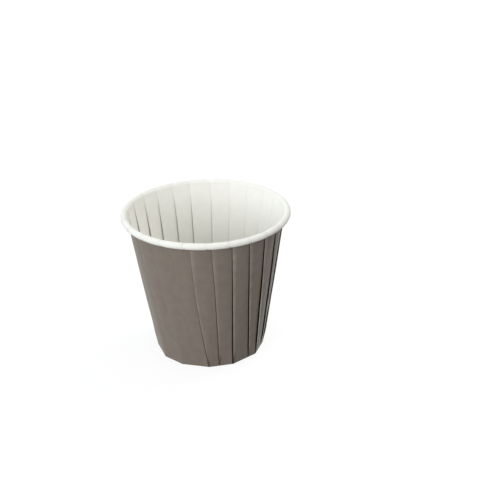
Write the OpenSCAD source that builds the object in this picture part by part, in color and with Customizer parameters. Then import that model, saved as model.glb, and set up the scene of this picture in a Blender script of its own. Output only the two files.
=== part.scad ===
// Pleated paper baking cup. One round paper blank is drawn up into a cup, the paper left over is
// folded flat into knife pleats, and the edge is rolled outwards into a rim. All sizes are in millimetres
// and all angles in degrees. The origin is the middle of the base, with +Z up.

/* [Cup] */
// Diameter over the rolled rim
top_d = 73; // [68:0.5:84]
// Diameter of the base across its corners
base_d = 46.6; // [38:0.2:54]
// Height from the base to the top of the rim
height = 64; // [44:0.5:70]

/* [Paper] */
// Thickness of the paper
paper_t = 0.15; // [0.1:0.01:0.2]
// Air between the layers of a pleat
layer_gap = 0.08; // [0.05:0.01:0.12]

/* [Pleats] */
// Number of pleats, two for each side of the base
pleat_count = 24; // [16:2:32]
// Share of a pleat's depth that its outside fold lies back from the foot of the pleat
fold_back = 0.9; // [0.5:0.05:1]
// Farthest that the foot of a pleat strays round the base from its even place
foot_stray = 4; // [0:0.5:4]

/* [Rim] */
// Outside diameter of the roll
roll_d = 2.9; // [2.3:0.1:4]
// How far round the roll is turned
roll_turn = 280; // [180:10:280]

/* [Hidden] */

outside_grey = [0.44, 0.42, 0.39];

// Steps up the wall and round the roll
wall_steps = 3;
roll_steps = 7;

// Middle of one layer to the middle of the next, and the whole of a pleat's three layers
layer_step = paper_t + layer_gap;
stack_t = 2 * layer_step + paper_t;

// Middle layer's line in section: from the foot of the wall it runs straight to the roll, and touches it
foot_r = (base_d - stack_t) / 2;
roll_r = (roll_d - stack_t) / 2;
roll_mid_r = (top_d - roll_d) / 2;
roll_mid_z = height - roll_d / 2;
foot_to_roll = norm([roll_mid_r - foot_r, roll_mid_z]);
wall_lean = atan2(roll_mid_r - foot_r, roll_mid_z) - asin(roll_r / foot_to_roll);
wall_l = sqrt(foot_to_roll ^ 2 - roll_r ^ 2);

// Angle from one pleat to the next, and the depth of a pleat at its foot
pitch = 360 / pleat_count;
foot_depth = 3 * paper_t;

// How far the foot of each pleat strays, as a share of foot_stray
strays = [
    -0.8, 0.3, 0.6, -0.5, 0.1, 0.7, -0.3, -0.6, 0.5, 0.2, -0.7, 0.4,
    0.6, -0.2, 0.7, 0.3, -0.3, 0.4, -0.1, -1, -1, 0.8, -0.3, 0.4
];
function stray(i) = let (k = (i + pleat_count) % pleat_count) strays[k % len(strays)];

// Angle of the foot line of pleat i at a height share h, even at the rim
function foot_angle(i, h) = pitch * i + foot_stray * stray(i) * (1 - h);

// Length of an arc as an angle at radius r
function arc(length, r) = length / r * 180 / PI;

// Station along the sheet: [radius, height, outward normal in section, distance from the foot, height share]
function wall_station(h) = let (s = wall_l * h) [
    foot_r + s * sin(wall_lean),
    s * cos(wall_lean),
    h == 0 ? [1, 0] : [cos(wall_lean), -sin(wall_lean)],
    s,
    h
];
function roll_station(turned) = let (a = 180 - wall_lean - turned) [
    roll_mid_r + roll_r * cos(a),
    roll_mid_z + roll_r * sin(a),
    [-cos(a), -sin(a)],
    wall_l + roll_r * turned * PI / 180,
    1
];
stations = [
    for (k = [0 : wall_steps]) wall_station(k / wall_steps),
    for (k = [1 : roll_steps]) roll_station(roll_turn * k / roll_steps)
];

// Depth of a pleat: half of what the flat blank is wider there than the cup, as an angle
function pleat_depth(st) = let (
    r = st[0],
    spare = pitch / 2 * ((foot_r + st[3]) / r - 1),
    least = arc(foot_depth, r),
    most = pitch - least
) min(max(spare, least), most);

// How far the straight sides of the base lie inside the circle through its corners, at angle a
function side_inset(a) = let (
    even = 2 * floor(a / (2 * pitch)),
    i = foot_angle(even, 0) > a ? even - 2 : foot_angle(even + 2, 0) < a ? even + 2 : even,
    from = foot_angle(i, 0),
    to = foot_angle(i + 2, 0)
) foot_r * (1 - cos((to - from) / 2) / cos(a - (from + to) / 2));

// A point of the sheet at angle a and station st, off the middle layer by the given amount
function sheet_point(st, a, off) = let (
    r = st[0] + off * st[2][0] - side_inset(a) * (1 - st[4]) ^ 2
) [r * cos(a), r * sin(a), st[1] + off * st[2][1]];

// The two faces of the sheet through pleat i at station st, three points to each of the pleat's layers
function outside_points(st, i) = let (
    depth = pleat_depth(st),
    fold_out = foot_angle(i, st[4]) - fold_back * depth,
    middle = fold_out + depth / 2,
    fold_in = fold_out + depth,
    inner = fold_in - arc(paper_t, st[0]),
    half = paper_t / 2
) [
    for (a = [fold_out, middle, inner]) sheet_point(st, a, -layer_step + half),
    for (a = [inner, middle, fold_out]) sheet_point(st, a, -half),
    for (a = [fold_out, middle, fold_in]) sheet_point(st, a, layer_step + half)
];
function inside_points(st, i) = let (
    depth = pleat_depth(st),
    fold_out = foot_angle(i, st[4]) - fold_back * depth,
    middle = fold_out + depth / 2,
    fold_in = fold_out + depth,
    inner = fold_out + arc(paper_t, st[0]),
    half = paper_t / 2
) [
    for (a = [fold_out, middle, fold_in]) sheet_point(st, a, -layer_step - half),
    for (a = [fold_in, middle, inner]) sheet_point(st, a, half),
    for (a = [inner, middle, fold_in]) sheet_point(st, a, layer_step - half)
];

// Wall, pleats and roll: the folded sheet as one closed skin, up its outside face and down its inside face
module folded_sheet() {
    outside = [for (st = stations) each [for (i = [0 : pleat_count - 1]) each outside_points(st, i)]];
    inside = [for (k = [len(stations) - 1 : -1 : 0])
        each [for (i = [0 : pleat_count - 1]) each inside_points(stations[k], i)]];
    rings = 2 * len(stations);
    ring_l = len(outside) / len(stations);
    faces = [for (k = [0 : rings - 1], j = [0 : ring_l - 1]) let (
        next = (k + 1) % rings * ring_l,
        on = (j + 1) % ring_l,
        a = k * ring_l + j,
        b = next + j,
        c = next + on,
        d = k * ring_l + on
    ) each k < len(stations) ? [[a, b, c], [a, c, d]] : [[a, b, d], [b, c, d]]];
    polyhedron(concat(outside, inside), faces);
}

// Base of the cup: its edge follows the middle of the sheet round the foot of the wall, with a corner at
// every second pleat
function base_edge(i) = let (
    st = stations[0],
    depth = pleat_depth(st),
    fold_out = foot_angle(i, 0) - fold_back * depth,
    cap = fold_out + arc(paper_t / 2, st[0])
) [
    sheet_point(st, fold_out, -layer_step),
    sheet_point(st, cap, -layer_step),
    sheet_point(st, cap, layer_step),
    sheet_point(st, fold_out + depth, layer_step)
];
module base() {
    linear_extrude(paper_t)
        polygon([for (i = [0 : pleat_count - 1]) each [for (p = base_edge(i)) [p[0], p[1]]]]);
}

module pleated_cup() {
    color(outside_grey)
        union() {
            folded_sheet();
            base();
        }
}

pleated_cup();
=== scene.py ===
"""A pleated paper baking cup: one printed paper blank, folded up into a cup and rolled over at its edge."""

import math

import bpy
from bpy.props import FloatProperty, FloatVectorProperty, IntProperty, PointerProperty
from mathutils import Matrix, Vector


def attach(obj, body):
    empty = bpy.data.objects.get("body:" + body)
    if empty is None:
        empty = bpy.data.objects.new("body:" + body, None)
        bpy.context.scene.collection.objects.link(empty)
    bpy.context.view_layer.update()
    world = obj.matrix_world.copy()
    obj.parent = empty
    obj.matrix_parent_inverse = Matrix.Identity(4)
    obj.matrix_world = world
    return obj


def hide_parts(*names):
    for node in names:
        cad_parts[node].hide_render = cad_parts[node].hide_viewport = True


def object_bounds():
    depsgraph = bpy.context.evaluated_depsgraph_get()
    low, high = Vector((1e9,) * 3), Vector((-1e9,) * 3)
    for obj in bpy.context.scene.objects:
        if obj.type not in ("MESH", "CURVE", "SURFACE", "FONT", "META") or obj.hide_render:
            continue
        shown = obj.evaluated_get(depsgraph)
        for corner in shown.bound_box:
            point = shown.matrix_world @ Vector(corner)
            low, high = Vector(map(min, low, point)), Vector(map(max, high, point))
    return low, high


bl_info = {
    "name": "Pleated Baking Cup",
    "version": (1, 0, 0),
    "blender": (4, 5, 0),
    "location": "3D View > Sidebar > Baking Cup",
    "description": "Folds a paper baking cup from its flat blank and sets a plain stage for it",
    "category": "Object",
}

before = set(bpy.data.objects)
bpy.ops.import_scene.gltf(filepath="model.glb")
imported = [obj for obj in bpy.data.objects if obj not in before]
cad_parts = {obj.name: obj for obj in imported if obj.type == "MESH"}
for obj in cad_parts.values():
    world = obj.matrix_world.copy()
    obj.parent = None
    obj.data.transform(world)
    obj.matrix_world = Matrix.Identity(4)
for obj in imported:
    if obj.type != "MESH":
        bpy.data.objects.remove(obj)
CAD_LOW, CAD_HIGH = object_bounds()

# How far each pleat strays from its even place, in degrees: at the foot, at the rim, and half way up.
# The pleats are numbered anticlockwise from +X.
FOOT_STRAY = [-3.2, 1.2, 2.4, -2.0, 0.4, 2.8, -1.2, -2.4, 2.0, 0.8, -2.8, 1.6]
FOOT_STRAY += [2.4, -0.8, 2.8, 1.2, -1.2, 1.6, -0.4, -4.0, -4.0, 3.2, -1.2, 1.6]
RIM_STRAY = [-2.0, -2.4, -2.9, -3.5, -4.3, -4.2, -4.4, -3.3, -4.1, -5.0, -6.2, -6.3]
RIM_STRAY += [-5.6, -4.8, -4.0, -3.0, -2.0, -0.8, 0.2, 0.2, 0.5, -0.6, -0.9, -1.4]
SWAY = [0.4, -0.6, 0.5, -0.4, -1.6, -3.0, -1.2, 0.1, -2.7, -1.2, 0.0, -0.2]
SWAY += [0.5, -0.4, 0.3, -0.6, 0.2, -0.3, -1.9, 1.0, 0.5, -1.2, 0.3, -0.4]

# How far each pleat stands open, as a share of the cup's own amount
OPEN_OUTSIDE = [1.0, 0.8, 1.1, 0.7, 1.0, 0.9, 0.6, 1.0, 0.8, 1.1, 0.9, 0.7]
OPEN_OUTSIDE += [0.5, 0.2, 0.0, 0.0, 0.0, 0.0, 0.8, 0.7, 1.2, 1.1, 1.7, 1.4]
OPEN_INSIDE = [0.7, 0.6, 0.5, 0.5, 0.5, 0.9, 1.3, 1.8, 1.4, 1.5, 1.5, 2.2]
OPEN_INSIDE += [1.4, 1.0, 1.0, 0.8, 0.9, 1.0, 0.8, 0.7, 0.9, 0.8, 0.6, 0.7]

# How much paler the print is on the lower part of each fold: partly rubbed-off print, partly painted
# highlight
WEAR_AND_HIGHLIGHT = [1.0, 0.5, 0.0, 0.0, 0.1, 0.0, 0.0, 0.2, 0.0, 0.0, 0.1, 0.0]
WEAR_AND_HIGHLIGHT += [0.1, 0.0, 0.0, 0.1, 0.0, 0.0, 0.0, 0.0, 0.0, 0.2, 0.7, 1.4]

# Where the sheet's points lie along each part of a pleat: across a layer, round a fold in degrees, and
# along the panel to the next pleat
LAYER = (0.0, 0.34, 0.67, 1.0)
BEND = (-90, -45, 0, 45, 90)
RUN = (0.25, 0.5, 0.75)

# Rings of the sheet: in the floor by their radius, round the bend at the foot, up the wall and round the
# roll. The growth sets the wall's rings closer together at the foot.
FLOOR_RINGS = (0.004, 0.009, 0.014, 0.018, 0.021)
FOOT_BEND_STEPS = 4
WALL_STEPS = 26
ROLL_STEPS = 26
WALL_GROWTH = 1.15

# Radius of the bend at the foot, and how far the roll's edge tucks in for each half turn past the first
FOOT_BEND = 0.0005
ROLL_TUCK = 0.00030

# Height shares between which the pleats are pressed for the roll, and depth at which one is fully folded
PRESSED = (0.9, 1.0)
FIRM_DEPTH = 0.0008

# Share of its opening that a pleat keeps: on the outside under the rim, inside under the rim and at the foot
OUTSIDE_AT_RIM = 0.4
INSIDE_AT_RIM = 0.2
INSIDE_AT_FOOT = 0.5

# Height shares between which a pleat closes towards the rim on the outside, opens up from the foot inside,
# closes towards the rim inside, and shuts there
OUTSIDE_CLOSES = (0.5, 1.0)
INSIDE_OPENS = (0.45, 0.75)
INSIDE_CLOSES = (0.7, 1.0)
INSIDE_SHUTS = (0.92, 0.97)

# The painted shade line along a crease: its width at the foot, in sizes of the crease, how much less it is
# at the rim, and the most of a panel that it may take
CREASE_AT_FOOT = 1.8
CREASE_NARROWING = 1.2
CREASE_LIMIT = 0.15

# Where the painted crease shade past a pleat has faded, in widths of a crease: at its foot, and where it is
# fully folded
FADED_AT_FOOT = 0.4
FADED_FIRM = 1.6

# Pale print on every fold, partly wear and partly painted highlight, height shares between which that
# paleness ends, and painted shade in the creases inside and over the roll
FOLD_WEAR_AND_HIGHLIGHT = 0.2
WEAR_AND_HIGHLIGHT_ENDS = (0.25, 0.75)
INNER_SHADE = 0.45
ROLL_SHADE = -0.04

# Heights of the slow, quick and fine waves in the wall
WAVES = (0.00006, 0.00005, 0.00003)

# Distance within which the points at the foot of a pleat are joined, and the largest angle between faces
# that are shaded as one
JOIN_WITHIN = 0.000002
SMOOTH_ANGLE = 50

# The paper's cloudiness and tooth: their noise, on places measured in fibre sizes, and the part of its
# range that is used
CLOUD = {"in_Scale": 0.22, "in_Detail": 4.0, "in_Roughness": 0.6}
CLOUD_RANGE = {"in_From_Min": 0.3, "in_From_Max": 0.7}
TOOTH = {"in_Scale": 2.4, "in_Detail": 3.0, "in_Roughness": 0.65}
TOOTH_RANGE = {"in_From_Min": 0.35, "in_From_Max": 0.65}

# The two sides of the paper: the attribute that marks the folds, how much the cloudiness and the tooth vary
# the colour, and the surface
PRINTED = {
    "folds": "print_fold",
    "cloud": 0.07,
    "tooth": 0.05,
    "roughness": 0.42,
    "bump": 0.25,
    "level": 0.1,
}
BARE = {
    "folds": "bare_fold",
    "cloud": 0.02,
    "tooth": 0.015,
    "roughness": 0.66,
    "bump": 0.3,
    "level": 0.3,
}
# How dark the painted shade in a crease makes the paper at most, as a share of its colour
CREASE_DARKEST = 0.1
ROUGHNESS_SPREAD = 0.06
BUMP_HEIGHT = 0.00002

# A Mix node's two colours and their mixture, by the places of their sockets
COLOUR_A = 6
COLOUR_B = 7
MIXED_COLOUR = 2

# Width of the floor, the share of its look that is plain white, and how bright that is
FLOOR_SIZE = 8
FLOOR_SHOWN = 0.8
FLOOR_WHITE = 1.06

# The sky's colours, and the direction in which it dims
SKY_LEFT_COLOUR = (0.92, 0.97, 1.01, 1)
SKY_RIGHT_COLOUR = (1.0, 0.98, 0.95, 1)
SKY_ACROSS = (1.0, -0.1, 0)

# Parts of the way across and up, from -1 to 1, between which the sky turns from left to right, loses the
# dimness that it has low at the right, and fades overhead
SKY_TURNS = {"in_From_Min": -0.25, "in_From_Max": 0.25}
SKY_CLEARS = {"in_From_Min": 0.5, "in_From_Max": 0.2}
SKY_FADES = {"in_From_Min": 0.3, "in_From_Max": 1.0}

# Places and diameters of the lamps, and the height on the cup's axis that they are aimed at
KEY_PLACE = (-0.35, -0.70, 0.21)
KEY_SIZE = 0.45
FILL_PLACE = (0.38, 0.24, 0.62)
FILL_SIZE = 0.40
LAMP_AIM = 0.04

# What the camera is aimed at, in radii of the rim
CAMERA_AIM = (0.5099, 0, 1.2235)


class CupSizes(bpy.types.PropertyGroup):
    """Sizes of the cup"""

    rim_diameter: FloatProperty(
        name="Rim Diameter",
        description="Diameter over the rolled rim",
        default=round(CAD_HIGH.x - CAD_LOW.x, 4),
        min=0.05,
        subtype="DISTANCE",
        unit="LENGTH",
    )
    foot_diameter: FloatProperty(
        name="Foot Diameter",
        description="Diameter of the base across its corners",
        default=0.0466,
        min=0.03,
        subtype="DISTANCE",
        unit="LENGTH",
    )
    height: FloatProperty(
        name="Height",
        description="Height from the base to the top of the rim",
        default=round(CAD_HIGH.z - CAD_LOW.z, 4),
        min=0.03,
        subtype="DISTANCE",
        unit="LENGTH",
    )
    paper: FloatProperty(
        name="Paper Thickness",
        description="Thickness of the paper",
        default=0.00015,
        min=0.00005,
        precision=5,
        unit="LENGTH",
    )
    layer_step: FloatProperty(
        name="Layer Step",
        description="From the middle of one layer of a pleat to the middle of the next",
        default=0.00019,
        min=0.00015,
        precision=5,
        unit="LENGTH",
    )
    pleats: IntProperty(
        name="Pleats",
        description="Number of pleats, two for each side of the base",
        default=24,
        min=24,
        max=24,
    )
    fold_back: FloatProperty(
        name="Fold Back",
        description="Share of a pleat's depth that its outside fold lies back from its foot",
        default=0.9,
        min=0.5,
        max=1.0,
        subtype="FACTOR",
    )
    open_outside: FloatProperty(
        name="Open Outside",
        description="How far the pleats lift from the wall on the outside",
        default=0.00026,
        min=0.0,
        precision=5,
        unit="LENGTH",
    )
    open_inside: FloatProperty(
        name="Open Inside",
        description="How far the pleats lift from the wall on the inside",
        default=0.00022,
        min=0.0,
        precision=5,
        unit="LENGTH",
    )
    # The dark line along the foot of an open fold is painted shade
    crease: FloatProperty(
        name="Crease",
        description="Width of the dark line along the foot of a fold that stands open",
        default=0.00040,
        min=0.0,
        precision=5,
        unit="LENGTH",
    )
    bow: FloatProperty(
        name="Bow",
        description="How far a panel bows out between its folds, where its pleat stands open",
        default=0.00006,
        min=0.0,
        precision=5,
        unit="LENGTH",
    )
    roll_diameter: FloatProperty(
        name="Roll Diameter",
        description="Outside diameter of the rolled rim",
        default=0.0029,
        min=0.002,
        precision=4,
        unit="LENGTH",
    )
    roll_turn: FloatProperty(
        name="Roll Turn",
        description="How far round the rim is rolled",
        default=math.radians(395),
        min=math.radians(200),
        max=math.radians(400),
        subtype="ANGLE",
        unit="ROTATION",
    )
    pressed: FloatProperty(
        name="Pressed Rim",
        description="Thickness of the pleats in the rolled rim, as a share of their thickness in the wall",
        default=0.4,
        min=0.3,
        max=1.0,
        subtype="FACTOR",
    )


class CupPaper(bpy.types.PropertyGroup):
    """Colours of the paper"""

    print_colour: FloatVectorProperty(
        name="Print",
        description="Colour that the outside of the paper is printed",
        default=(0.206, 0.173, 0.146),
        min=0.0,
        max=1.0,
        subtype="COLOR",
    )
    # Paler print on the folds: partly worn print, partly painted highlight
    wear_and_highlight_colour: FloatVectorProperty(
        name="Worn Print",
        description="Colour of the print where it is worn off on a fold",
        default=(0.62, 0.60, 0.57),
        min=0.0,
        max=1.0,
        subtype="COLOR",
    )
    bare_colour: FloatVectorProperty(
        name="Bare Paper",
        description="Colour of the paper's white side, seen inside the cup and on the rim",
        default=(0.855, 0.847, 0.80),
        min=0.0,
        max=1.0,
        subtype="COLOR",
    )
    fibre: FloatProperty(
        name="Fibre Size",
        description="Size of the cloudiness that the paper's fibres give it",
        default=0.0009,
        min=0.0001,
        precision=4,
        unit="LENGTH",
    )


class StageSizes(bpy.types.PropertyGroup):
    """Floor, lamps and camera"""

    floor_colour: FloatVectorProperty(
        name="Floor",
        description="Colour of the floor",
        default=(0.9, 0.9, 0.9),
        min=0.0,
        max=1.0,
        subtype="COLOR",
    )
    floor_bounce: FloatProperty(
        name="Floor Bounce",
        description="Share of the light that reaches the floor which it throws back on the cup",
        default=0.28,
        min=0.0,
        max=1.0,
        subtype="FACTOR",
    )
    sky: FloatProperty(
        name="Sky",
        description="Strength of the light that comes from all round",
        default=1.42,
        min=0.0,
    )
    sky_right: FloatProperty(
        name="Sky at the Right",
        description="Strength of the sky's light at the right, as a share of that at the left",
        default=0.04,
        min=0.0,
        subtype="FACTOR",
    )
    sky_above: FloatProperty(
        name="Sky Overhead",
        description="Strength of the sky's light straight above, as a share of that near the floor",
        default=0.35,
        min=0.0,
        subtype="FACTOR",
    )
    key: FloatProperty(
        name="Key Lamp",
        description="Power of the large lamp, low at the front left",
        default=2.8,
        min=0.0,
        unit="POWER",
    )
    fill: FloatProperty(
        name="Fill Lamp",
        description="Power of the lamp high at the back right",
        default=1.5,
        min=0.0,
        unit="POWER",
    )
    camera_rise: FloatProperty(
        name="Camera Rise",
        description="Angle at which the camera looks down",
        default=math.radians(24.609),
        subtype="ANGLE",
        unit="ROTATION",
    )
    camera_roll: FloatProperty(
        name="Camera Roll",
        description="Angle that the camera is rolled",
        default=math.radians(-1.468),
        subtype="ANGLE",
        unit="ROTATION",
    )
    camera_distance: FloatProperty(
        name="Camera Distance",
        description="Distance from the camera to what it is aimed at",
        default=0.657,
        subtype="DISTANCE",
        unit="LENGTH",
    )
    lens: FloatProperty(
        name="Lens",
        description="Focal length of the camera, in millimetres",
        default=109.21,
        unit="CAMERA",
    )


class Station:
    """One ring of the sheet: its radius on the flat blank, and its place, slope and press in the cup."""

    def __init__(self, flat, radius, z, normal, share, press, folded):
        self.flat = flat
        self.radius = radius
        self.z = z
        self.normal = normal
        self.share = share
        self.press = press
        self.folded = folded


def ease(t):
    """From 0 to 1 with no corner at either end."""
    t = min(max(t, 0.0), 1.0)
    return t * t * (3 - 2 * t)


def ramp(share, limits):
    """From 0 to 1 between two height shares."""
    low, high = limits
    return ease((share - low) / (high - low))


def cup_stations(cup):
    """The sheet's rings, from the middle of the floor out to the cut edge inside the roll."""
    half = cup.paper / 2
    foot = cup.foot_diameter / 2 - 2 * half
    stack = (cup.layer_step + half) * cup.pressed
    roll = cup.roll_diameter / 2 - stack
    centre = Vector(((cup.rim_diameter - cup.roll_diameter) / 2, cup.height - cup.roll_diameter / 2))
    to_centre = centre - Vector((foot, half))
    lean = math.atan2(to_centre.x, to_centre.y) - math.asin(roll / to_centre.length)
    wall = math.sqrt(to_centre.length ** 2 - roll ** 2)
    turn = math.pi / 2 - lean
    tangent = FOOT_BEND * math.tan(turn / 2)
    rings = [Station(r, r, half, (0, -1), 0, 1, False) for r in FLOOR_RINGS]
    for k in range(FOOT_BEND_STEPS + 1):
        a = turn * k / FOOT_BEND_STEPS
        radius = foot - tangent + FOOT_BEND * math.sin(a)
        z = half + FOOT_BEND * (1 - math.cos(a))
        normal = (math.sin(a), -math.cos(a))
        rings.append(Station(foot - tangent + FOOT_BEND * a, radius, z, normal, 0, 1, False))
    shortened = 2 * tangent - FOOT_BEND * turn
    for k in range(1, WALL_STEPS + 1):
        share = (k / WALL_STEPS) ** WALL_GROWTH
        s = tangent + (wall - tangent) * share
        press = 1 - (1 - cup.pressed) * ramp(share, PRESSED)
        place = (foot + s * math.sin(lean), half + s * math.cos(lean))
        normal = (math.cos(lean), -math.sin(lean))
        rings.append(Station(foot + s - shortened, *place, normal, share, press, True))
    length = 0
    for k in range(1, ROLL_STEPS + 1):
        turned = cup.roll_turn * k / ROLL_STEPS
        a = math.pi - lean - turned
        tucked = roll - ROLL_TUCK * max(turned - math.pi, 0) / math.pi
        length += roll * cup.roll_turn / ROLL_STEPS
        place = (centre.x + tucked * math.cos(a), centre.y + tucked * math.sin(a))
        normal = (-math.cos(a), -math.sin(a))
        rings.append(Station(foot + wall - shortened + length, *place, normal, 1, cup.pressed, True))
    return rings


def foot_line(cup, i, share):
    """Angle of pleat i's own line up the wall, on which its folds close at the foot."""
    k = i % cup.pleats
    stray = FOOT_STRAY[k] * (1 - share) + RIM_STRAY[k] * share + SWAY[k] * math.sin(math.pi * share)
    return math.radians(360 / cup.pleats * i + stray)


def pleat_depth(cup, station):
    """Angle over which a pleat's layers lie: half of what the flat blank is wider there than the cup."""
    if not station.folded:
        return 0.0
    return math.pi / cup.pleats * (station.flat / station.radius - 1)


def outside_opening(share):
    """Share of its opening that a pleat keeps on the outside: less towards the rim, which holds it."""
    return 1 - (1 - OUTSIDE_AT_RIM) * ramp(share, OUTSIDE_CLOSES)


def inside_opening(share):
    """Share of its opening that a pleat keeps on the inside: most well up the wall, and none at the roll."""
    opening = 1 - (1 - INSIDE_AT_RIM) * ramp(share, INSIDE_CLOSES)
    opening *= INSIDE_AT_FOOT + (1 - INSIDE_AT_FOOT) * ramp(share, INSIDE_OPENS)
    return opening * (1 - ramp(share, INSIDE_SHUTS))


def fold_marks(cup, station, k, firm):
    """Marks of pleat k's folds at a ring.

    They are the painted shade in the crease of its own fold and of the next one, the painted shade in the
    crease on the inside, and the paler print on the fold, partly wear and partly painted highlight.
    """
    if station.share == 1:
        dark = following = inner = 0.0
    else:
        # Painted shade in the creases, outside and inside
        dark = -min(OPEN_OUTSIDE[k], 1)
        following = -min(OPEN_OUTSIDE[(k + 1) % cup.pleats], 1)
        inner = -INNER_SHADE * OPEN_INSIDE[k] * inside_opening(station.share) * firm
    # The paler print on the folds is partly wear and partly painted highlight
    rubbed_and_highlight = WEAR_AND_HIGHLIGHT[k] * (1 - ramp(station.share, WEAR_AND_HIGHLIGHT_ENDS))
    wear_and_highlight = dark + (FOLD_WEAR_AND_HIGHLIGHT * OPEN_OUTSIDE[k] + rubbed_and_highlight - dark) * firm
    return dark, following, inner, wear_and_highlight


def pleat_path(cup, station, i):
    """The sheet through pleat i and on to the next.

    Each point is an angle, an offset from the middle layer, a mark for the print, which is paler above 0,
    partly as wear and partly as painted highlight, and darkened below it by painted crease shade, and a mark
    for the bare side, which is darkened below 0 by painted crease shade.
    """
    k = i % cup.pleats
    r = station.radius
    depth = pleat_depth(cup, station)
    start = foot_line(cup, i, station.share) - cup.fold_back * depth
    end = start + depth
    onward = foot_line(cup, i + 1, station.share) - cup.fold_back * depth
    firm = ease(depth * r / FIRM_DEPTH)
    step = cup.layer_step * station.press * firm
    half = step / 2
    bend = half / r
    lift_out = lift_in = 0.0
    if station.share < 1:
        lift_out = cup.open_outside * OPEN_OUTSIDE[k] * firm * outside_opening(station.share) * station.press
        lift_in = cup.open_inside * OPEN_INSIDE[k] * firm * inside_opening(station.share) * station.press
    dark, following, inner, wear_and_highlight = fold_marks(cup, station, k, firm)

    # The lowest layer, the fold inside, the middle layer back, and the fold outside
    path = [(start + t * depth, -step - lift_in * t, dark, 0) for t in LAYER[:3]]
    for a in map(math.radians, BEND):
        off = -half - lift_in + half * math.sin(a)
        path.append((end - bend + bend * math.cos(a), off, 0, inner * (a > 0)))
    for t in LAYER[2:0:-1]:
        path.append((start + t * depth, lift_out * (1 - t) - lift_in * t, dark, inner))
    for a in map(math.radians, BEND):
        off = half + lift_out + half * math.sin(a)
        path.append((start + bend - bend * math.cos(a), off, dark if a < 0 else wear_and_highlight, inner))

    # The upper layer and the panel, which comes down to the next pleat's lowest layer
    top = step + lift_out
    bow = cup.bow * OPEN_OUTSIDE[k] * firm * station.press
    whole = onward - start
    crease = cup.crease * (CREASE_AT_FOOT - CREASE_NARROWING * station.share)
    wide = crease * max(OPEN_OUTSIDE[(k + 1) % cup.pleats], 1)
    near = min(wide / r, CREASE_LIMIT * (onward - end))
    panel = [(t * depth, dark * (1 - firm), inner) for t in LAYER[1:]]
    faded = FADED_AT_FOOT + (FADED_FIRM - FADED_AT_FOOT) * firm
    panel.append((depth + faded * near, 0, 0))
    panel += [(depth + (onward - end) * t, 0, 0) for t in RUN]
    # The last strip before the next fold takes that fold's painted crease shade
    panel += [(whole - near, 0, 0), (whole - near / 2, following, 0)]
    clear = top - min(lift_out + lift_in, (step + top) * depth / whole)
    for a, mark, inside_mark in panel:
        if a < depth:
            off = top + (clear - top) * a / depth
        else:
            off = clear - (step + clear) * (a - depth) / (whole - depth)
        w = a / whole
        path.append((start + a, off + bow * 4 * w * (1 - w), mark, inside_mark))
    return path


def side_inset(cup, angle):
    """How far the straight sides of the base lie inside the circle through its corners."""
    pair = 4 * math.pi / cup.pleats
    i = 2 * math.floor(angle / pair)
    while foot_line(cup, i, 0) > angle:
        i -= 2
    while foot_line(cup, i + 2, 0) <= angle:
        i += 2
    a, b = foot_line(cup, i, 0), foot_line(cup, i + 2, 0)
    return cup.foot_diameter / 2 * (1 - math.cos((b - a) / 2) / math.cos(angle - (a + b) / 2))


def hand_waves(angle, share):
    """Small waves that handling leaves in the wall, in metres. They are nearly gone at the rim."""
    slow = math.sin(3 * angle + 1.1) * math.sin(2.6 * share + 0.4)
    quick = math.sin(11 * angle + 5.3 * share + 0.7) * math.sin(math.pi * share)
    fine = math.sin(23 * angle - 7.1 * share + 2.9) * math.sin(math.pi * share)
    return sum(height * wave for height, wave in zip(WAVES, (slow, quick, fine)))


def sheet_point(cup, station, angle, offset):
    """A point of the folded sheet."""
    inset = side_inset(cup, angle)
    if station.folded:
        inset *= (1 - station.share) ** 2
    else:
        inset *= station.radius / (cup.foot_diameter / 2)
    waves = hand_waves(angle, station.share) if station.folded else 0.0
    r = station.radius + offset * station.normal[0] - inset + waves
    return Vector((r * math.cos(angle), r * math.sin(angle), station.z + offset * station.normal[1]))


def flat_angles(cup, station):
    """Where a ring's points lie on the flat blank.

    They are in step with the length of sheet between them, with the middle of each pleat on its own line.
    """
    paths = [pleat_path(cup, station, i) for i in range(cup.pleats)]
    count = len(paths[0])
    points = [p for path in paths for p in path]
    reach = [0.0]
    for k, (a, o, *_) in enumerate(points):
        b, q, *_ = points[(k + 1) % len(points)]
        along = math.remainder(b - a, 2 * math.pi) * station.radius
        reach.append(reach[-1] + math.hypot(along, q - o))
    whole = reach[-1]
    before = len(LAYER) - 1 + len(BEND)
    middles = []
    for i in range(cup.pleats):
        k = i * count + before
        middles.append((reach[k] + reach[k + 1]) / 2)
    middles.append(middles[0] + whole)
    middles.insert(0, middles[-2] - whole)
    angles = []
    for k in range(len(points)):
        i = k // count
        if reach[k] < middles[i + 1]:
            i -= 1
        low, high = middles[i + 1], middles[i + 2]
        a, b = foot_line(cup, i, 0), foot_line(cup, i + 1, 0)
        angles.append(a + (b - a) * (reach[k] - low) / (high - low))
    return angles


def node(tree, kind, **values):
    """A shader node with its settings, and its unlinked inputs as in_NAME."""
    made = tree.nodes.new(kind)
    for key, value in values.items():
        if key.startswith("in_"):
            made.inputs[key[3:].replace("_", " ")].default_value = value
        else:
            setattr(made, key, value)
    return made


def map_range(tree, source, **values):
    """A Map Range node fed by a socket, and its result."""
    made = node(tree, "ShaderNodeMapRange", **values)
    tree.links.new(source, made.inputs["Value"])
    return made.outputs["Result"]


def calculate(tree, operation, first, second, **values):
    """A Math node on two sockets, and its result."""
    made = node(tree, "ShaderNodeMath", operation=operation, **values)
    tree.links.new(first, made.inputs[0])
    tree.links.new(second, made.inputs[1])
    return made.outputs["Value"]


def noise(tree, place, spread, kind, used, row):
    """A noise texture on a place, as it is and as a factor that spreads evenly round 1."""
    texture = node(tree, "ShaderNodeTexNoise", location=(-500, row), **kind)
    tree.links.new(place.outputs["Vector"], texture.inputs["Vector"])
    plain = texture.outputs["Fac"]
    factor = map_range(tree, plain, in_To_Min=1 - spread, in_To_Max=1 + spread, location=(-280, row), **used)
    return plain, factor


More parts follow.
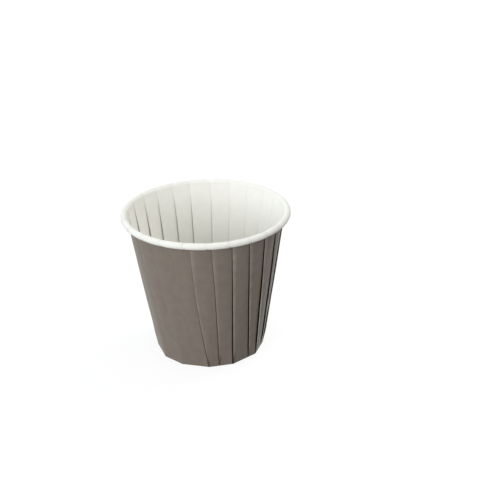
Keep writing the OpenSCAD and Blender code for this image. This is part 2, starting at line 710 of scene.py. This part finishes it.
def paper_material(name, colour, wear_and_highlight_colour, fibre, side):
    """Paper with a cloudy fibre and fine tooth, its print paler on the folds, partly as wear and partly as
    painted highlight, and darkened in the creases by painted shade.
    """
    material = bpy.data.materials.new(name)
    material.use_nodes = True
    tree = material.node_tree
    tree.nodes.clear()
    link = tree.links.new
    out = node(tree, "ShaderNodeOutputMaterial", location=(900, 0))
    shader = node(tree, "ShaderNodeBsdfPrincipled", in_Specular_IOR_Level=side["level"], location=(600, 0))
    link(shader.outputs["BSDF"], out.inputs["Surface"])
    place = node(tree, "ShaderNodeUVMap", uv_map="blank", location=(-900, 0))
    real = node(tree, "ShaderNodeVectorMath", operation="SCALE", in_Scale=1 / fibre, location=(-720, 0))
    link(place.outputs["UV"], real.inputs[0])
    cloud, shade = noise(tree, real, side["cloud"], CLOUD, CLOUD_RANGE, 200)
    tooth, speck = noise(tree, real, side["tooth"], TOOTH, TOOTH_RANGE, -60)
    both = calculate(tree, "MULTIPLY", shade, speck, location=(-90, 120))
    marked = node(tree, "ShaderNodeAttribute", attribute_name=side["folds"], location=(-500, -320))
    fold = marked.outputs["Fac"]
    # Paler print on the folds: partly wear, partly painted highlight
    wear_and_highlight = calculate(tree, "MULTIPLY", fold, cloud, use_clamp=True, location=(-90, -320))
    line = node(tree, "ShaderNodeMix", data_type="RGBA", location=(90, 120))
    line.inputs[COLOUR_A].default_value = (*colour, 1)
    line.inputs[COLOUR_B].default_value = (*wear_and_highlight_colour, 1)
    link(wear_and_highlight, line.inputs["Factor"])
    # Painted shade in the creases darkens the colour
    crease = map_range(
        tree, fold, in_From_Min=-1.0, in_From_Max=0.0, in_To_Min=CREASE_DARKEST, location=(-280, -500)
    )
    depth = calculate(tree, "MULTIPLY", both, crease, location=(90, -60))
    tint = node(tree, "ShaderNodeVectorMath", operation="SCALE", location=(300, 120))
    link(line.outputs[MIXED_COLOUR], tint.inputs[0])
    link(depth, tint.inputs["Scale"])
    link(tint.outputs["Vector"], shader.inputs["Base Color"])
    rough = map_range(
        tree,
        tooth,
        in_To_Min=side["roughness"] - ROUGHNESS_SPREAD,
        in_To_Max=side["roughness"] + ROUGHNESS_SPREAD,
        location=(300, -120),
    )
    link(rough, shader.inputs["Roughness"])
    bump = node(tree, "ShaderNodeBump", in_Strength=side["bump"], location=(300, -320))
    bump.inputs["Distance"].default_value = BUMP_HEIGHT
    link(tooth, bump.inputs["Height"])
    link(bump.outputs["Normal"], shader.inputs["Normal"])
    return material


class CUP_OT_fold_sheet(bpy.types.Operator):
    """Cuts the round paper blank, folds it up into the pleated cup and rolls its edge"""

    bl_idname = "cup.fold_sheet"
    bl_label = "Fold the Cup"
    bl_options = {"REGISTER", "UNDO"}

    def execute(self, context):
        cup = context.scene.cup_sizes
        paper = context.scene.cup_paper
        rings = cup_stations(cup)
        sheet = self.cut_blank(cup, rings)
        self.fold(cup, rings, sheet)
        self.close_and_turn(sheet)
        sides = [
            ("Printed Grey Paper", paper.print_colour, paper.wear_and_highlight_colour, PRINTED),
            ("Bare White Paper", paper.bare_colour, paper.bare_colour, BARE),
        ]
        for name, colour, wear_and_highlight_colour, side in sides:
            sheet.data.materials.append(paper_material(name, colour, wear_and_highlight_colour, paper.fibre, side))
        self.thicken(cup, sheet)
        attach(sheet, "root")
        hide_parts("pleated_cup")
        return {"FINISHED"}

    def cut_blank(self, cup, rings):
        """The flat round blank, ring by ring, with one column for each line of points across it."""
        columns = cup.pleats * len(pleat_path(cup, rings[-1], 0))
        bpy.ops.object.select_all(action="DESELECT")
        bpy.ops.mesh.primitive_circle_add(vertices=columns, radius=rings[0].flat, fill_type="TRIFAN")
        sheet = bpy.context.object
        sheet.name = sheet.data.name = "folded_paper_cup"
        bpy.ops.object.mode_set(mode="EDIT")
        bpy.ops.mesh.select_mode(type="EDGE")
        bpy.ops.mesh.select_all(action="SELECT")
        bpy.ops.mesh.region_to_loop()
        for inner, outer in zip(rings, rings[1:]):
            bpy.ops.mesh.extrude_region_move()
            grow = outer.flat / inner.flat
            bpy.ops.transform.resize(value=(grow, grow, 1), center_override=(0, 0, 0))
        bpy.ops.object.mode_set(mode="OBJECT")
        return sheet

    def fold(self, cup, rings, sheet):
        """Marks the folds on the blank, keeps the flat places as the sheet's own map, then folds it."""
        mesh = sheet.data
        paths = [[p for i in range(cup.pleats) for p in pleat_path(cup, s, i)] for s in rings]
        flats = [flat_angles(cup, s) for s in rings]
        columns = len(paths[0])
        radii = [s.flat for s in rings]
        places, marks, inside_marks, press, flat = [], [], [], [], []
        for vertex in mesh.vertices:
            x, y = vertex.co.x, vertex.co.y
            distance = math.hypot(x, y)
            if distance < radii[0] / 2:
                places.append(Vector((0, 0, rings[0].z)))
                marks.append(0.0)
                inside_marks.append(0.0)
                press.append(1.0)
                flat.append((0.0, 0.0))
                continue
            k = min(range(len(radii)), key=lambda n: abs(radii[n] - distance))
            j = round(math.atan2(y, x) / (2 * math.pi) * columns) % columns
            angle, offset, mark, inside_mark = paths[k][j]
            places.append(sheet_point(cup, rings[k], angle, offset))
            marks.append(float(mark) if rings[k].z > rings[0].z else 0.0)
            # The roll is darkened a touch all over by painted shade
            inside_mark = ROLL_SHADE if rings[k].share == 1 else inside_mark
            inside_marks.append(float(inside_mark) if rings[k].folded else 0.0)
            press.append(rings[k].press)
            a = flats[k][j]
            flat.append((radii[k] * math.cos(a), radii[k] * math.sin(a)))
        blank = mesh.uv_layers.new(name="blank")
        for loop in mesh.loops:
            blank.data[loop.index].uv = flat[loop.vertex_index]
        for name, values in (("print_fold", marks), ("bare_fold", inside_marks)):
            fold = mesh.attributes.new(name, "FLOAT", "POINT")
            for k, value in enumerate(values):
                fold.data[k].value = value
        for vertex, place in zip(mesh.vertices, places):
            vertex.co = place
        group = sheet.vertex_groups.new(name="thickness")
        for k, value in enumerate(press):
            group.add([k], value, "REPLACE")

    def close_and_turn(self, sheet):
        """Joins the points that meet at the foot, and turns the printed side out."""
        bpy.ops.object.mode_set(mode="EDIT")
        bpy.ops.mesh.select_all(action="SELECT")
        bpy.ops.mesh.remove_doubles(threshold=JOIN_WITHIN)
        bpy.ops.mesh.normals_make_consistent(inside=False)
        bpy.ops.object.mode_set(mode="OBJECT")
        floor = min(sheet.data.polygons, key=lambda face: face.center.xy.length)
        if floor.normal.z > 0:
            bpy.ops.object.mode_set(mode="EDIT")
            bpy.ops.mesh.flip_normals()
            bpy.ops.object.mode_set(mode="OBJECT")

    def thicken(self, cup, sheet):
        """Gives the sheet its paper's thickness, white on the inside."""
        body = sheet.modifiers.new("Paper", "SOLIDIFY")
        body.thickness = cup.paper
        body.offset = 0
        body.vertex_group = "thickness"
        body.use_quality_normals = True
        body.material_offset = 1
        body.material_offset_rim = 1
        bpy.ops.object.modifier_apply(modifier=body.name)
        bpy.ops.object.shade_smooth_by_angle(angle=math.radians(SMOOTH_ANGLE))


class CUP_OT_set_stage(bpy.types.Operator):
    """Lays the floor and sets the lamps, the sky and the camera"""

    bl_idname = "cup.set_stage"
    bl_label = "Set the Stage"
    bl_options = {"REGISTER", "UNDO"}

    def execute(self, context):
        stage = context.scene.cup_stage
        self.lay_floor(stage)
        self.light_sky(context.scene, stage)
        self.hang_lamps(stage)
        self.place_camera(context.scene, context.scene.cup_sizes, stage)
        context.scene.view_settings.view_transform = "Standard"
        return {"FINISHED"}

    def lay_floor(self, stage):
        """A wide pale floor with the cup's shadow on it. The camera and glossy rays see it nearly white."""
        bpy.ops.object.select_all(action="DESELECT")
        bpy.ops.mesh.primitive_plane_add(size=FLOOR_SIZE)
        floor = bpy.context.object
        floor.name = floor.data.name = "floor"
        material = bpy.data.materials.new("Pale Floor")
        material.use_nodes = True
        tree = material.node_tree
        tree.nodes.clear()
        link = tree.links.new
        out = node(tree, "ShaderNodeOutputMaterial", location=(600, 0))
        matte = node(tree, "ShaderNodeBsdfDiffuse", location=(0, 100))
        white = node(tree, "ShaderNodeEmission", in_Color=(1, 1, 1, 1), location=(0, -100))
        white.inputs["Strength"].default_value = FLOOR_WHITE
        rays = node(tree, "ShaderNodeLightPath", location=(-400, 300)).outputs
        camera, glossy = rays["Is Camera Ray"], rays["Is Glossy Ray"]
        shown = calculate(tree, "MAXIMUM", camera, glossy, location=(-300, 300))
        part = node(tree, "ShaderNodeMath", operation="MULTIPLY", location=(0, 300))
        part.inputs[1].default_value = FLOOR_SHOWN
        link(shown, part.inputs[0])
        bounce = map_range(tree, shown, in_To_Min=stage.floor_bounce, location=(-200, -200))
        tone = node(tree, "ShaderNodeVectorMath", operation="SCALE", location=(-200, 0))
        tone.inputs[0].default_value = stage.floor_colour
        link(bounce, tone.inputs["Scale"])
        link(tone.outputs["Vector"], matte.inputs["Color"])
        mix = node(tree, "ShaderNodeMixShader", location=(300, 0))
        link(part.outputs["Value"], mix.inputs["Fac"])
        link(matte.outputs["BSDF"], mix.inputs[1])
        link(white.outputs["Emission"], mix.inputs[2])
        link(mix.outputs["Shader"], out.inputs["Surface"])
        floor.data.materials.append(material)

    def light_sky(self, scene, stage):
        """A pale sky, weaker overhead and weakest low at the right, which the camera sees as plain white."""
        world = bpy.data.worlds.new("White Sky")
        scene.world = world
        world.use_nodes = True
        tree = world.node_tree
        tree.nodes.clear()
        link = tree.links.new
        out = node(tree, "ShaderNodeOutputWorld", location=(600, 0))
        light = node(tree, "ShaderNodeBackground", location=(0, 100))
        place = node(tree, "ShaderNodeTexCoord", location=(-1000, 100)).outputs["Generated"]
        way = node(tree, "ShaderNodeSeparateXYZ", location=(-800, 100))
        link(place, way.inputs["Vector"])
        across = node(tree, "ShaderNodeVectorMath", operation="DOT_PRODUCT", location=(-800, 300))
        across.inputs[1].default_value = SKY_ACROSS
        link(place, across.inputs[0])
        soft = {"interpolation_type": "SMOOTHSTEP"}
        right = map_range(tree, across.outputs["Value"], location=(-600, 200), **soft, **SKY_TURNS)
        low = map_range(tree, way.outputs["Z"], location=(-600, -100), **soft, **SKY_CLEARS)
        dim = calculate(tree, "MULTIPLY", right, low, location=(-400, 100))
        side = map_range(tree, dim, in_To_Min=1.0, in_To_Max=stage.sky_right, location=(-200, 100))
        rise = map_range(
            tree,
            way.outputs["Z"],
            in_To_Min=stage.sky,
            in_To_Max=stage.sky * stage.sky_above,
            location=(-400, 300),
            **soft,
            **SKY_FADES,
        )
        link(calculate(tree, "MULTIPLY", side, rise, location=(-50, 200)), light.inputs["Strength"])
        warm = node(tree, "ShaderNodeMix", data_type="RGBA", location=(-200, -100))
        warm.inputs[COLOUR_A].default_value = SKY_LEFT_COLOUR
        warm.inputs[COLOUR_B].default_value = SKY_RIGHT_COLOUR
        link(right, warm.inputs["Factor"])
        link(warm.outputs[MIXED_COLOUR], light.inputs["Color"])
        seen = node(tree, "ShaderNodeBackground", in_Color=(1, 1, 1, 1), location=(0, -100))
        rays = node(tree, "ShaderNodeLightPath", location=(-200, 300))
        mix = node(tree, "ShaderNodeMixShader", location=(300, 0))
        link(rays.outputs["Is Camera Ray"], mix.inputs["Fac"])
        link(light.outputs["Background"], mix.inputs[1])
        link(seen.outputs["Background"], mix.inputs[2])
        link(mix.outputs["Shader"], out.inputs["Surface"])

    def hang_lamps(self, stage):
        """A large soft lamp, low at the front left, and a weaker one high at the back right."""
        lamps = [
            ("key_lamp", Vector(KEY_PLACE), KEY_SIZE, stage.key),
            ("fill_lamp", Vector(FILL_PLACE), FILL_SIZE, stage.fill),
        ]
        for name, place, size, power in lamps:
            aim = Vector((0, 0, LAMP_AIM)) - place
            turn = aim.to_track_quat("-Z", "Y").to_euler()
            bpy.ops.object.light_add(type="AREA", location=place, rotation=turn)
            lamp = bpy.context.object
            lamp.name = lamp.data.name = name
            lamp.data.shape = "DISK"
            lamp.data.size = size
            lamp.data.energy = power

    def place_camera(self, scene, cup, stage):
        """The camera, aimed a little to the right of the cup's axis."""
        aim = Vector(CAMERA_AIM) * (cup.rim_diameter / 2)
        back = Vector((0, -math.cos(stage.camera_rise), math.sin(stage.camera_rise)))
        right = Vector((1, 0, 0))
        up = right.cross(-back)
        c, s = math.cos(stage.camera_roll), math.sin(stage.camera_roll)
        side, top = c * right + s * up, -s * right + c * up
        turn = Matrix((side, top, back)).transposed()
        bpy.ops.object.camera_add(location=aim + back * stage.camera_distance, rotation=turn.to_euler())
        camera = bpy.context.object
        camera.name = camera.data.name = "camera"
        camera.data.lens = stage.lens
        camera.data.clip_start = 0.01
        camera.data.clip_end = 20
        scene.camera = camera


class CUP_PT_panel(bpy.types.Panel):
    """Sizes and colours of the cup, and the steps that make it"""

    bl_label = "Baking Cup"
    bl_idname = "CUP_PT_panel"
    bl_space_type = "VIEW_3D"
    bl_region_type = "UI"
    bl_category = "Baking Cup"

    def draw(self, context):
        groups = (context.scene.cup_sizes, context.scene.cup_paper, context.scene.cup_stage)
        for group in groups:
            box = self.layout.box()
            for name in group.__annotations__:
                box.prop(group, name)
        self.layout.operator(CUP_OT_fold_sheet.bl_idname)
        self.layout.operator(CUP_OT_set_stage.bl_idname)


CLASSES = (CupSizes, CupPaper, StageSizes, CUP_OT_fold_sheet, CUP_OT_set_stage, CUP_PT_panel)


def register():
    for cls in CLASSES:
        bpy.utils.register_class(cls)
    bpy.types.Scene.cup_sizes = PointerProperty(type=CupSizes)
    bpy.types.Scene.cup_paper = PointerProperty(type=CupPaper)
    bpy.types.Scene.cup_stage = PointerProperty(type=StageSizes)


def unregister():
    del bpy.types.Scene.cup_stage
    del bpy.types.Scene.cup_paper
    del bpy.types.Scene.cup_sizes
    for cls in reversed(CLASSES):
        bpy.utils.unregister_class(cls)


def main():
    """Registers the classes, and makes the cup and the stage."""
    register()
    bpy.ops.cup.fold_sheet()
    bpy.ops.cup.set_stage()


if __name__ == "__main__":
    main()
